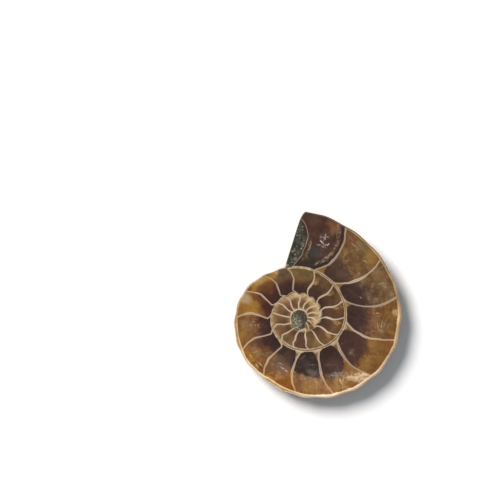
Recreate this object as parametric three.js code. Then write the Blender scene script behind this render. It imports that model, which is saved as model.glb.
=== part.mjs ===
// Half of an ammonite fossil, sawn along its coil and polished flat on the cut.
// The cut face lies level on top. The ribbed flank of the shell is underneath and carries the stone.
// Millimetres, +Z up, +Y towards the broken end of the coil.
import * as THREE from "three";
import { ParametricGeometry } from "three/addons/geometries/ParametricGeometry.js";
import { mergeVertices } from "three/addons/utils/BufferGeometryUtils.js";

// Radius of the last turn about the pole of the coil, every 30 degrees from -240 to +90.
const coilRadii = [11.8, 13.3, 14.15, 14.75, 15.2, 16.75, 18.77, 20.72, 21.68, 21.8, 22.15, 23.3];
const firstAngle = -240;
const angleStep = 30;
const turnGrowth = 2.065; // each turn is this many times the one inside it

// The broken end: a straight edge this far from the pole, square to this direction.
const endDistance = 6.4;
const endDirection = 162.8;
const endAngle = 104.2; // where that edge reaches the turn inside
const cornerRound = 3.2;
const innerFillet = 0.8;

const thickness = 5.7; // flank to cut face
const venterDepth = 1.25; // widest line of the shell below the cut face, at the pole
const saw = { slope: 0.047, direction: 41 }; // the cut leans against the plane of the coil
const edgeBand = { mean: 0.23, swing: 0.13, direction: -45 }; // shell seen outside the cut face

// Flank of one turn: share of the radius taken by the umbilicus, place of the crest, depth and its growth.
const umbilicusShare = 0.26;
const crestShare = 0.2;
const whorlDepth = 4.9;
const depthGrowth = 0.4;
const pit = { depth: 0.9, radius: 1.6 }; // floor of the umbilicus round the pole

const rib = { spacing: 18, offset: 3, height: 0.44, rim: 0.18, lean: 14, bend: 5 };

// Slices round the pole, and rows from the cut face's edge over the venter to the pole below.
const slices = 151;
const edgeSteps = [0, 0.16, 0.55, 1];
const flankShares = [0.985, 0.95, 0.88, 0.78, 0.65, 0.5, 0.35, 0.2, 0.07];
const innerRadius = 10.4;
const innerRows = 17;

const shell = new THREE.MeshStandardMaterial({ color: 0x8a6238, roughness: 0.35, metalness: 0 });

const radians = THREE.MathUtils.degToRad;
const smooth = THREE.MathUtils.smoothstep;

// Radius of the coil at a total angle: a smooth curve through the logarithms of the radii above.
function coilRadius(t) {
  const place = (t - firstAngle) / angleStep;
  const i = Math.floor(place);
  const f = place - i;
  const at = (j) => {
    const turn = Math.floor(j / coilRadii.length);
    return Math.log(coilRadii[j - turn * coilRadii.length]) + turn * Math.log(turnGrowth);
  };
  const [a, b, c, d] = [at(i - 1), at(i), at(i + 1), at(i + 2)];
  const cubic = 3 * b - 3 * c + d - a;
  return Math.exp(b + 0.5 * f * (c - a + f * (2 * a - 5 * b + 4 * c - d + f * cubic)));
}

// The smaller of two lengths, with the corner between them rounded over a third.
function roundedMin(a, b, round) {
  const h = THREE.MathUtils.clamp(0.5 + (0.5 * (b - a)) / round, 0, 1);
  return b * (1 - h) + a * h - round * h * (1 - h);
}

function roundedMax(a, b, round) {
  return -roundedMin(-a, -b, round);
}

// Distance from the pole to the straight broken edge along a direction.
function endEdge(angle) {
  const cosine = Math.cos(radians(angle - endDirection));
  return cosine > 0.05 ? endDistance / cosine : endDistance / 0.05;
}

// Ridge of the ribs, 0 to 1: all of them on the outer flank, every second one on the inner.
function ribWave(t, x) {
  const shifted = t - rib.offset + rib.lean * (1 - x) - rib.bend * Math.sin(2 * Math.PI * x);
  const every = 0.5 + 0.5 * Math.cos((2 * Math.PI * shifted) / rib.spacing);
  const second = 0.5 + 0.5 * Math.cos((Math.PI * shifted) / rib.spacing);
  return every * THREE.MathUtils.lerp(second, 1, smooth(x, 0.35, 0.65));
}

function ribbedRadius(t) {
  return coilRadius(t) + rib.rim * (ribWave(t, 1) - 0.5);
}

// Outline of the cut piece along a direction.
function outline(angle) {
  if (angle > 60) {
    const cutOff = roundedMin(ribbedRadius(angle), endEdge(angle), cornerRound);
    return roundedMax(cutOff, ribbedRadius(angle - 360), innerFillet);
  }
  if (angle < -230) {
    return roundedMax(ribbedRadius(angle), endEdge(angle + 360), innerFillet);
  }
  return ribbedRadius(angle);
}

// Half width of one turn at a share across it, from the inner seam (0) to the venter (1).
function flank(x) {
  if (x <= 0 || x >= 1) {
    return 0;
  }
  if (x < crestShare) {
    return 1 - Math.pow((crestShare - x) / crestShare, 2.2);
  }
  return Math.pow(1 - Math.pow((x - crestShare) / (1 - crestShare), 1.8), 0.62);
}

// Depth of the shell's surface below the cut face: the deepest of the turns met at this place.
function depthAt(radius, angle) {
  let deepest = radius < pit.radius ? pit.depth : 0;
  for (let turn = 0; turn < 4; turn += 1) {
    const t = angle - 360 * turn;
    const outer = ribbedRadius(t);
    const x = (radius / outer - umbilicusShare) / (1 - umbilicusShare);
    const size = coilRadius(t) / coilRadius(endAngle);
    const fade = smooth(x, 0.2, 0.6) * smooth(1 - x, 0, 0.06);
    const ridge = rib.height * size * fade * (ribWave(t, x) - 0.5);
    deepest = Math.max(deepest, whorlDepth * Math.pow(size, depthGrowth) * flank(x) + ridge);
  }
  const lean = saw.slope * radius * Math.cos(radians(angle - saw.direction));
  return Math.min(venterDepth + deepest - lean, thickness);
}

// Slices run once round the pole, from just past the broken end to just before it.
function sliceAngle(i) {
  return THREE.MathUtils.lerp(endAngle - 359.8, endAngle - 0.2, (i % slices) / (slices - 1));
}

const rows = 1 + edgeSteps.length + flankShares.length + innerRows;

// One closed surface, from the pole below across the flank, over the venter and its edge to the cut face.
function surface(u, v, target) {
  const angle = sliceAngle(Math.round(u * slices));
  const fromPole = Math.round(v * (rows - 1));
  const fromEdge = rows - 2 - fromPole;
  const rim = outline(angle);
  let radius = 0;
  let depth = 0;
  if (fromPole < innerRows) {
    radius = (innerRadius * fromPole) / (innerRows - 1);
    depth = depthAt(radius, angle);
  } else if (fromEdge >= edgeSteps.length) {
    radius = THREE.MathUtils.lerp(innerRadius, rim, flankShares[fromEdge - edgeSteps.length]);
    depth = depthAt(radius, angle);
  } else if (fromEdge >= 0) {
    const swing = edgeBand.swing * Math.cos(radians(angle - edgeBand.direction));
    const onVenter = 1 - smooth(ribbedRadius(angle) - rim, 0, 0.3);
    const step = edgeSteps[fromEdge];
    radius = rim - (edgeBand.mean + swing) * onVenter * Math.pow(1 - step, 1.6);
    depth = depthAt(rim, angle) * step;
  }
  const a = radians(angle);
  target.set(radius * Math.cos(a), radius * Math.sin(a), thickness - depth);
}

// Joins equal corners and leaves out the faces that shrink to a line at the poles.
function closed(open) {
  open.deleteAttribute("normal");
  open.deleteAttribute("uv");
  const merged = mergeVertices(open, 1e-3);
  const corners = merged.index.array;
  const kept = [];
  for (let i = 0; i < corners.length; i += 3) {
    const [a, b, c] = corners.slice(i, i + 3);
    if (a !== b && b !== c && c !== a) {
      kept.push(a, b, c);
    }
  }
  merged.setIndex(kept);
  merged.computeVertexNormals();
  return merged;
}

const body = closed(new ParametricGeometry(surface, slices, rows - 1));
body.computeBoundingBox();
const middle = body.boundingBox.getCenter(new THREE.Vector3());
body.translate(-middle.x, -middle.y, -body.boundingBox.min.z);

const ammonite = new THREE.Mesh(body, shell);
ammonite.name = "ammonite";

const group = new THREE.Group();
group.add(ammonite);

export default group;
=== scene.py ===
import math
from types import SimpleNamespace

import bpy
import numpy as np
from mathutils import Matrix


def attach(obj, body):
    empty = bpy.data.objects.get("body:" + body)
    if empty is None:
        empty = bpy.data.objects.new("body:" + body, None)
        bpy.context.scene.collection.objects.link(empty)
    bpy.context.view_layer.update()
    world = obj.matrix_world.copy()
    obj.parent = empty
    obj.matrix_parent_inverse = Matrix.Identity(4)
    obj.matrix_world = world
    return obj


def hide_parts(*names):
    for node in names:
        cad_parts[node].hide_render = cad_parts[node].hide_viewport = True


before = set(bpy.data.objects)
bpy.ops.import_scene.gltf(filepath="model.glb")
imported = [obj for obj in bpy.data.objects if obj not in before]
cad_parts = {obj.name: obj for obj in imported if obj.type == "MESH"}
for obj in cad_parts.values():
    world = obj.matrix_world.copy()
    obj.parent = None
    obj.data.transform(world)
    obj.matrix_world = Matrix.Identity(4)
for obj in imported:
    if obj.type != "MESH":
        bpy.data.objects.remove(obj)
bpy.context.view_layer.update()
print("stage: frame loaded")

mm = 0.001
framePixels = 500  # the photograph is square
photoStep = 0.21505  # millimetres on the cut face for one pixel of it
polePixel = (300.3, 319.0)  # where the pole of the coil lies in it

# The coil: the same values as the solid, in millimetres and degrees about the pole.
coil = {
    "radii": [11.8, 13.3, 14.15, 14.75, 15.2, 16.75, 18.77, 20.72, 21.68, 21.8, 22.15, 23.3],
    "firstAngle": -240.0,
    "angleStep": 30.0,
    "turnGrowth": 2.065,
    "endDistance": 6.4,
    "endDirection": 162.8,
    "endAngle": 104.2,
    "endFrom": 60.0,  # the broken end shapes the outline past this angle
    "startTo": -230.0,  # and meets the start of the turn before this one
    "cornerRound": 3.2,
    "innerFillet": 0.8,
    "slices": 151,
    "seam": 0.2,  # the slices stop this far short of the end angle
    "thickness": 5.7,
    "venterDepth": 1.25,
    "sawSlope": 0.047,
    "sawDirection": 41.0,
    "bandMean": 0.23,
    "bandSwing": 0.13,
    "bandDirection": -45.0,
    "bandCurve": 1.6,
    "bandEnd": 0.3,
    "umbilicus": 0.26,
    "crest": 0.2,
    "wallCurve": 2.2,
    "sideCurve": 1.8,
    "sideRound": 0.62,
    "whorlDepth": 4.9,
    "depthGrowth": 0.4,
    "turnsMet": 4,
    "pitDepth": 0.9,
    "pitRadius": 1.6,
}
rib = {
    "spacing": 18.0,
    "offset": 3.0,
    "height": 0.44,
    "rim": 0.18,
    "lean": 14.0,
    "bend": 5.0,
    "secondFade": (0.35, 0.65),  # shares across the turn between which every second rib comes in
    "innerFade": (0.2, 0.6),
    "venterFade": (0.0, 0.06),
}


def cosine(degrees):
    return np.cos(np.radians(degrees))


# 0 up to low and 1 past high, with three squares less two cubes of the share between.
def smoothStep(x, low, high):
    s = np.clip((x - low) / (high - low), 0.0, 1.0)
    return s * s * (3.0 - 2.0 * s)


# A smooth curve through evenly spaced values: a cubic between the middle two of four neighbours.
def curveThrough(values, place):
    i = np.clip(np.floor(place).astype(int), 1, len(values) - 3)
    f = place - i
    a, b, c, d = (values[i + k] for k in (-1, 0, 1, 2))
    return b + 0.5 * f * (c - a + f * (2 * a - 5 * b + 4 * c - d + f * (3 * b - 3 * c + d - a)))


turnsIn = 5
coilLogs = np.concatenate(
    [np.log(coil["radii"]) + k * math.log(coil["turnGrowth"]) for k in range(-turnsIn, 2)]
)


# Radius of the coil: the exponential of a curve through the logarithms of its radii.
def coilRadius(t):
    start = coil["firstAngle"] - 360.0 * turnsIn
    return np.exp(curveThrough(coilLogs, (np.asarray(t) - start) / coil["angleStep"]))


# The smaller of two lengths, with the corner between them rounded by a parabola.
def roundedMin(a, b, width):
    h = np.clip(0.5 + 0.5 * (b - a) / width, 0.0, 1.0)
    return b * (1 - h) + a * h - width * h * (1 - h)


# The larger of two lengths, rounded likewise.
def roundedMax(a, b, width):
    return -roundedMin(-a, -b, width)


# Pole to the straight broken edge: its nearest distance over the cosine of the turn away from it.
def endEdge(angle):
    leastCosine = 0.05
    return coil["endDistance"] / np.maximum(cosine(angle - coil["endDirection"]), leastCosine)


# Ribs, 0 to 1: a cosine wave swept back across the flank, every second one fading on the inner half.
def ribWave(t, x):
    shifted = t - rib["offset"] + rib["lean"] * (1 - x) - rib["bend"] * np.sin(2 * np.pi * x)
    every = 0.5 + 0.5 * np.cos(2 * np.pi * shifted / rib["spacing"])
    second = 0.5 + 0.5 * np.cos(np.pi * shifted / rib["spacing"])
    share = smoothStep(x, *rib["secondFade"])
    return every * (second * (1 - share) + share)


# Radius of the coil, raised a little at each rib and lowered between them.
def ribbedRadius(t):
    return coilRadius(t) + rib["rim"] * (ribWave(t, 1.0) - 0.5)


# Outline along a direction: the ribbed coil, cut off by the broken edge where that is nearer, but never
# inside the turn before it.
def outlineRadius(angle):
    cutOff = roundedMin(ribbedRadius(angle), endEdge(angle), coil["cornerRound"])
    endSide = roundedMax(cutOff, ribbedRadius(angle - 360.0), coil["innerFillet"])
    startSide = roundedMax(ribbedRadius(angle), endEdge(angle + 360.0), coil["innerFillet"])
    rest = np.where(angle < coil["startTo"], startSide, ribbedRadius(angle))
    return np.where(angle > coil["endFrom"], endSide, rest)


# Slices run once round the pole, from just past the broken end to just before it.
def sliceAngles(count):
    return np.linspace(coil["endAngle"] - 360.0 + coil["seam"], coil["endAngle"] - coil["seam"], count)


# The frame's origin is the middle of the outline's box, so the pole lies opposite that middle.
solidAngles = sliceAngles(coil["slices"])
rimPoints = outlineRadius(solidAngles) * np.stack([cosine(solidAngles), np.sin(np.radians(solidAngles))])
pole = -0.5 * (rimPoints.min(axis=1) + rimPoints.max(axis=1))


# Half width of one turn: a rounded wall up from the seam, then a lens-shaped fall to the venter.
def flankShape(x):
    crest = coil["crest"]
    wall = 1 - np.clip((crest - x) / crest, 0, 1) ** coil["wallCurve"]
    side = (1 - np.clip((x - crest) / (1 - crest), 0, 1) ** coil["sideCurve"]) ** coil["sideRound"]
    return np.where((x <= 0) | (x >= 1), 0.0, np.where(x < crest, wall, side))


# Depth below the cut face: the deepest turn met at this place, with the lean of the saw cut taken off.
def depthAt(radius, angle):
    deepest = np.where(radius < coil["pitRadius"], coil["pitDepth"], 0.0)
    for turn in range(coil["turnsMet"]):
        t = angle - 360.0 * turn
        x = (radius / ribbedRadius(t) - coil["umbilicus"]) / (1 - coil["umbilicus"])
        size = coilRadius(t) / coilRadius(coil["endAngle"])
        fade = smoothStep(x, *rib["innerFade"]) * smoothStep(1 - x, *rib["venterFade"])
        ridge = rib["height"] * size * fade * (ribWave(t, x) - 0.5)
        half = coil["whorlDepth"] * size ** coil["depthGrowth"] * flankShape(x) + ridge
        deepest = np.maximum(deepest, half)
    lean = coil["sawSlope"] * radius * cosine(angle - coil["sawDirection"])
    return np.minimum(coil["venterDepth"] + deepest - lean, coil["thickness"])


# Width of the shell seen outside the cut: a mean and one cosine swing, gone along the broken end.
def edgeBand(angle, rim):
    swing = coil["bandSwing"] * cosine(angle - coil["bandDirection"])
    onShell = 1 - smoothStep(ribbedRadius(angle) - rim, 0.0, coil["bandEnd"])
    return (coil["bandMean"] + swing) * onShell


# What the cut shows. Wall between turns: radius every 30 degrees of coil, one turn to a line.
walls = {
    "first": -1380.0,
    "step": 30.0,
    "radii": [
        0.60, 0.67, 0.73, 0.77, 0.80, 0.82, 0.84, 0.86, 0.95, 1.12, 1.46, 1.83,
        2.15, 2.26, 2.32, 2.34, 2.28, 2.24, 2.30, 2.45, 2.86, 3.33, 4.13, 4.69,
        4.99, 5.38, 5.74, 5.98, 6.17, 6.19, 6.34, 6.67, 7.42, 8.71, 9.68, 10.17,
        10.58, 11.10, 11.60, 12.90,
    ],
    "scallop": 0.09,  # bulge of the wall between septa, as a share of its radius
    "scallopFrom": (-790, -740),
    "scallopTo": (-610, -570),
    "leastRadius": 0.3,
    "centreStep": 0.8,  # logarithm from the innermost wall down to the centre
}
# Septa from the mouth inward: angle along the coil where each bulges most. How far one swings forward at
# shares across the turn is given for some of those angles.
septa = {
    "angles": [
        84.6, 60, 33.3, 9.5, -16.2, -42.3, -70.6, -100.3, -130, -158.8, -187,
        -212, -236, -261, -289.4, -317, -340, -361, -386, -411.7, -441, -470,
        -499, -527, -553, -579, -600, -628, -650, -673, -695, -718, -738,
    ],
    "inward": (400.0, 18.0),  # degrees and septa counted on past the innermost one
    "outward": (300.0, 11.5),  # and past the outermost one
    "across": [0, 0.06, 0.15, 0.3, 0.5, 0.65, 0.82, 1],
    "swings": {
        -715: [10, 9, 8.5, 7, 4, 0, -7, -11],
        -650: [5, 5, 6, 5.5, 3, 0, -4.5, -7],
        -600: [2, 4, 6, 5, 3, 0, -1, 3],
        -579: [1, 1.5, 2.5, 3, 2, 0, 0.5, 4],
        -553: [3, 3, 3, 3, 2.5, 2.4, 1.5, 0],
        -527: [7, 7, 6.5, 6, 5, 2, -0.4, 6],
        -499: [17, 16, 13.5, 11, 7.5, 3, 0.5, 10],
        -470: [15, 13, 10.5, 7, 5, 6.5, 3, 8.5],
        -441: [22, 20, 14, 8, 7, 6.5, 2.5, 7],
        -392: [-2, 1.5, 4, 5.3, 2.5, 0, 0.8, 3.5],
        -289: [-2, 1.5, 4, 5.3, 2.5, 0, 0.8, 3.5],
        -261: [-6, 1, 6, 3.8, 1.5, 0, 1.5, 5.5],
        -187: [-6, 1, 6, 3.8, 1.5, 0, 1.5, 5.5],
        -159: [-6, 1, 6, 4.4, 2.6, 1.4, 3.2, 8],
        -130: [-6, 1, 6, 4.4, 2.6, 1.4, 3, 7.5],
        -100: [14, 12, 8.5, 4.6, 2.2, 1.4, 3, 7.5],
        -70: [14, 12, 9.5, 5.5, 2.5, 1.2, 1.8, 5],
        -42: [14, 12, 8.5, 4, 1, 0, 1, 4.5],
        -16: [14, 12, 8.5, 4, 1, 0.6, 2.2, 3.8],
        10: [14, 12, 8.5, 4, 1, 0, 0.8, 3.5],
        33: [14, 12, 8.5, 4, 1, 0, 0.8, 3.5],
        60: [14, 12, 7, 2.2, 0, -0.4, 0.4, 2.6],
        80: [14, 12, 8.5, 4, 1, 0, 1.5, 8.5],
    },
}
softening = np.hanning(13)
softening = softening / softening.sum()
fineLow, fineHigh, fineSteps = -0.2, 1.2, 140  # shares across the turn that the swings are worked out for

innermost, outermost = septa["angles"][-1], septa["angles"][0]
septumAngles = np.array(
    [innermost - septa["inward"][0], *septa["angles"][::-1], outermost + septa["outward"][0]]
)
septumNumbers = 1.0 - np.arange(len(septa["angles"]), 0, -1)
septumNumbers = np.array([septumNumbers[0] - septa["inward"][1], *septumNumbers, septa["outward"][1]])


# Septum count at an angle: 0 at the last septum and falling inward, straight between neighbours.
def septumPhase(t):
    return np.interp(t, septumAngles, septumNumbers)


zones = list(septa["swings"])
fineAcross = np.linspace(fineLow, fineHigh, fineSteps + 1)
swingTable = np.array([np.interp(fineAcross, septa["across"], row) for row in septa["swings"].values()])
reach = len(softening) // 2
padded = np.pad(swingTable, ((0, 0), (reach, reach)), mode="edge")
swingTable = np.array([np.convolve(row, softening, mode="valid") for row in padded])


# Swing of a septum at an angle and a share across: between the nearest zones and the nearest fine steps.
def septumSwing(t, across):
    zone = np.interp(t, zones, np.arange(len(zones)))
    z = np.clip(np.floor(zone).astype(int), 0, len(zones) - 2)
    place = (across - fineLow) / (fineHigh - fineLow) * fineSteps
    place = np.clip(place, 0, fineSteps - 0.001)
    k = np.floor(place).astype(int)
    a = swingTable[z, k] * (k + 1 - place) + swingTable[z, k + 1] * (place - k)
    b = swingTable[z + 1, k] * (k + 1 - place) + swingTable[z + 1, k + 1] * (place - k)
    return a * (z + 1 - zone) + b * (zone - z)


wallLogs = np.log(walls["radii"])


# Logarithm of the wall's radius: a curve through the radii, with a bump between septa along one stretch.
def wallLog(t):
    t = np.maximum(np.asarray(t, float), walls["first"] + walls["step"])
    bumps = np.abs(np.sin(np.pi * septumPhase(t))) - 0.5
    scalloped = smoothStep(t, *walls["scallopFrom"]) * (1 - smoothStep(t, *walls["scallopTo"]))
    smooth = curveThrough(wallLogs, (t - walls["first"]) / walls["step"])
    return smooth + walls["scallop"] * scalloped * bumps


# Turn number and share across it, from the logarithms of the walls met on the way in from the rim,
# and for each of the outer three turns the septum count there and how steeply it changes.
def coilFields(radius, angle, faceEdge):
    logs = [np.log(faceEdge)] + [wallLog(angle - 360.0 * k) for k in (1, 2, 3)]
    logs.append(logs[-1] - walls["centreStep"])
    here = np.log(np.maximum(radius, walls["leastRadius"]))
    turns = np.zeros_like(here)
    phases, steeps = [], []
    nudge = 0.02
    radian = 57.3  # degrees
    for k in range(4):
        height = logs[k] - logs[k + 1]
        down = (logs[k] - here) / height
        turns = np.where(down > 0, k + np.minimum(down, 1.0), turns)
        if k < 3:
            across = np.clip(1 - down, fineLow, fineHigh)
            t = angle - 360.0 * k
            swung = t - septumSwing(t, across)
            perDegree = np.maximum(septumPhase(swung + 0.5) - septumPhase(swung - 0.5), 1e-3)
            slope = (septumSwing(t, across + nudge) - septumSwing(t, across - nudge)) / (2 * nudge) / height
            phases.append(septumPhase(swung))
            steeps.append(np.sqrt(radian ** 2 + slope ** 2) * perDegree)
    return turns, np.stack(phases, -1), np.stack(steeps, -1)


# The piece is one closed surface: slices round the pole, and rows from the pole of the cut over its edge
# to the pole below.
body = {
    "slices": 480,
    "faceRows": 100,
    "faceCrowding": 1.15,
    "edgeSteps": [0.04, 0.1, 0.2, 0.35, 0.55, 0.75, 0.9, 1.0],  # shares of the way down to the venter
    "bevel": 0.05,
    "bevelShare": 0.1,  # of that way
    "flankRows": 40,
    "flankCrowding": 1.7,
    "innerRows": 44,
    "innerRadius": 10.4,
    "poleShare": 0.02,  # the fields of the pole are read this near to it
    "pastEnd": 23.2,  # edge of the cut if the last turn ran on past the broken end
    "brokenGap": 0.25,  # stone shows where the outline lies this far inside the shell
}
count = body["slices"]
angles = sliceAngles(count)
rim = outlineRadius(angles)
band = edgeBand(angles, rim)
rimDepth = depthAt(rim, angles)
turnRadius = coilRadius(angles)
turnEdge = np.append(turnRadius - edgeBand(angles, turnRadius) - body["bevel"], body["pastEnd"])
# One more column repeats the first slice a turn further on.
angles = np.append(angles, coil["endAngle"] + coil["seam"])
rim, band, rimDepth = (np.append(values, values[0]) for values in (rim, band, rimDepth))

faceEdge = rim - band - body["bevel"]
faceShares = (np.arange(1, body["faceRows"] + 1) / body["faceRows"]) ** body["faceCrowding"]
faceRadius = faceShares[:, None] * faceEdge[None, :]
faceDepth = np.zeros_like(faceRadius)

edgeSteps = np.array(body["edgeSteps"])[:, None]
bevel = body["bevel"] * np.clip(1 - edgeSteps / body["bevelShare"], 0, 1)
edgeRadius = rim - band * (1 - edgeSteps) ** coil["bandCurve"] - bevel
edgeDepth = rimDepth * edgeSteps

flankSteps = np.arange(1, body["flankRows"])[:, None] / body["flankRows"]
flankRadius = body["innerRadius"] + (rim - body["innerRadius"]) * (1 - flankSteps ** body["flankCrowding"])
innerRadius = np.linspace(body["innerRadius"], 0, body["innerRows"], endpoint=False)[:, None] + 0 * angles
backRadius = np.concatenate([flankRadius, innerRadius])
backDepth = depthAt(backRadius, np.broadcast_to(angles, backRadius.shape))

radius = np.concatenate([faceRadius, edgeRadius, backRadius])
depth = np.concatenate([faceDepth, edgeDepth, backDepth])
rowAngle = np.broadcast_to(angles, radius.shape)
rows = radius.shape[0]
points = np.stack(
    [
        pole[0] + radius * cosine(rowAngle),
        pole[1] + radius * np.sin(np.radians(rowAngle)),
        coil["thickness"] - depth,
    ],
    -1,
)[:, :count]
topPole = np.array([[pole[0], pole[1], coil["thickness"]]])
poleDepth = float(depthAt(np.zeros(1), np.zeros(1))[0])
lowPole = np.array([[pole[0], pole[1], coil["thickness"] - poleDepth]])
vertices = np.concatenate([points.reshape(-1, 3), topPole, lowPole]) * mm

column = np.arange(count)
nextColumn = (column + 1) % count
inner = (np.arange(rows - 1)[:, None] * count) + column
innerNext = (np.arange(rows - 1)[:, None] * count) + nextColumn
quads = np.stack([inner, inner + count, innerNext + count, innerNext], -1).reshape(-1, 4)
topFan = np.stack([np.full(count, rows * count), column, nextColumn], -1)
last = (rows - 1) * count
lowFan = np.stack([np.full(count, rows * count + 1), last + nextColumn, last + column], -1)

mesh = bpy.data.meshes.new("ammonite_half")
mesh.from_pydata(vertices.tolist(), [], quads.tolist() + topFan.tolist() + lowFan.tolist())

# Fields on the corners, so that the strip where the last slice meets the first keeps one numbering.
turns, phases, steeps = coilFields(
    np.concatenate([faceRadius[:1] * body["poleShare"], faceRadius]),
    np.broadcast_to(angles, (body["faceRows"] + 1, count + 1)),
    turnEdge,
)


# Values on the rows of the cut spread to all corners of the mesh, with a resting value off the cut.
def toCorners(field, rest):
    size = field.shape[2:]
    full = np.concatenate([field, np.full((rows - body["faceRows"],) + field.shape[1:], rest)])
    quadCorners = [full[1:-1, :-1], full[2:, :-1], full[2:, 1:], full[1:-1, 1:]]
    topCorners = [full[0, :-1], full[1, :-1], full[1, 1:]]
    return np.concatenate([
        np.stack(quadCorners, 2).reshape((-1,) + size),
        np.stack(topCorners, 1).reshape((-1,) + size),
        np.full((count * 3,) + size, rest),
    ])


# Keeps such values on the mesh, as numbers or as vectors.
def addCorner(name, field, rest):
    data = toCorners(field, rest).astype(np.float32)
    kind = "FLOAT" if data.ndim == 1 else "FLOAT_VECTOR"
    layer = mesh.attributes.new(name, kind, "CORNER")
    layer.data.foreach_set("value" if data.ndim == 1 else "vector", data.ravel())


addCorner("whorl", turns, 0.0)
addCorner("phases", phases, 0.0)
addCorner("steeps", steeps, 1.0)

# On the shell: rib crest, growth angle and how far into the umbilicus, at the vertices.
across = (radius / ribbedRadius(rowAngle) - coil["umbilicus"]) / (1 - coil["umbilicus"])
growth = rowAngle + rib["lean"] * (1 - across) - rib["bend"] * np.sin(2 * np.pi * np.clip(across, 0, 1))
crests = ribWave(rowAngle, np.clip(across, 0, 1)) * smoothStep(across, 0.15, 0.6)
hollow = smoothStep(-across, -0.08, 0.12)
shellField = np.stack([crests, growth / rib["spacing"], hollow], -1)[:, :count].reshape(-1, 3)
shellField = np.concatenate([shellField, [[0, 0, 0], [0, 0, 1]]]).astype(np.float32)
layer = mesh.attributes.new("shell", "FLOAT_VECTOR", "POINT")
layer.data.foreach_set("vector", shellField.ravel())

# Faces: the cut, the shell, and the stone of the broken end.
faceCount = len(quads) + 2 * count
parts = np.ones((rows - 1, count), int)
parts[: body["faceRows"] - 1] = 0
inShell = ribbedRadius(angles[:count]) - rim[:count]
broken = (inShell > body["brokenGap"]) & (angles[:count] > coil["endFrom"])
broken[-1] = True
edgeRows = slice(body["faceRows"] - 1, body["faceRows"] - 1 + len(edgeSteps))
parts[edgeRows, broken] = 2
parts[edgeRows.stop:, -1] = 2
partOf = np.concatenate([parts.ravel(), np.zeros(count, int), np.ones(count, int)])
mesh.polygons.foreach_set("material_index", partOf.astype(np.int32))
mesh.polygons.foreach_set("use_smooth", np.ones(faceCount, bool))
mesh.update()
mesh.validate()
ammonite = bpy.data.objects.new("ammonite_half", mesh)
bpy.context.collection.objects.link(ammonite)
print("stage: surface made,", len(vertices), "points,", 2 * len(quads) + 2 * count, "triangles")


# Puts values or links into the sockets of a node.
def plug(node, sockets):
    for key, value in sockets.items():
        if isinstance(value, Shade):
            node.id_data.links.new(value.out, node.inputs[key])
        else:
            node.inputs[key].default_value = value


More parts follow.
